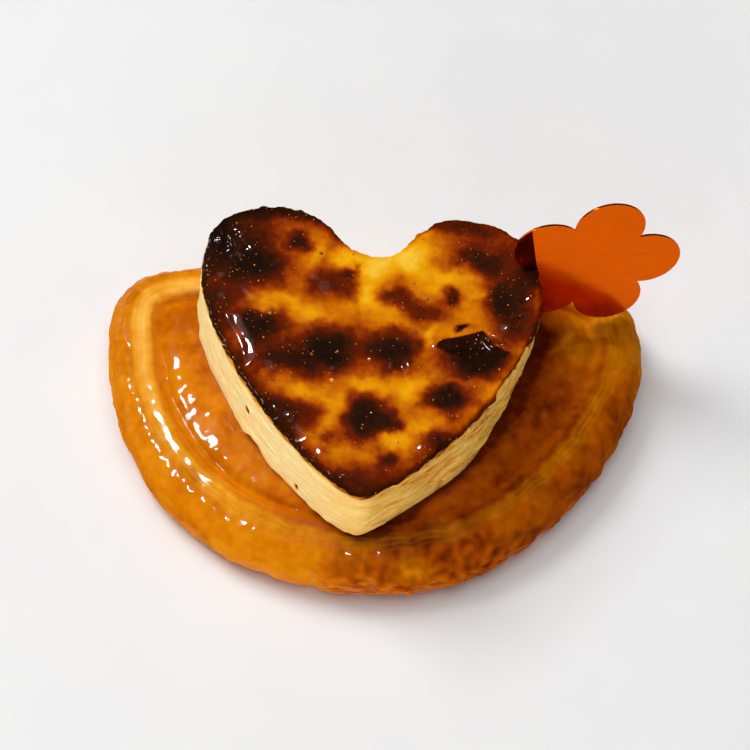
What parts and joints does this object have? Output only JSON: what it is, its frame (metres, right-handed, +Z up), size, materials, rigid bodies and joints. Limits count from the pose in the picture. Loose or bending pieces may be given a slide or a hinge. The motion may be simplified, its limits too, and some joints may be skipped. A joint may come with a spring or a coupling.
{
  "type": "palmier pastry",
  "caption": "Wide glazed palmier of rolled puff pastry, with a heart of baked custard under burnt caramel on it and a flower-shaped foil tag stuck in the side.",
  "frame": {"origin": "middle of the whole object's plan, on the surface the pastry lies on", "axes": "+X towards the side with the tag, along the pastry's width; +Y towards the notched back edge; +Z up"},
  "size_m": [0.1312, 0.0854, 0.0537],
  "materials": {
    "crust": "baked puff pastry, egg-washed and glazed to a gloss",
    "custard": "moist baked custard with fine layered lines",
    "burnt_sugar": "torched sugar, glassy, amber to black",
    "foil": "copper-orange mirror foil on card"
  },
  "bodies": {
    "root": {"pastry": "crust", "custard_heart": "custard", "caramel_top": "burnt_sugar", "flower_tag": "foil"}
  },
  "joints": []
}
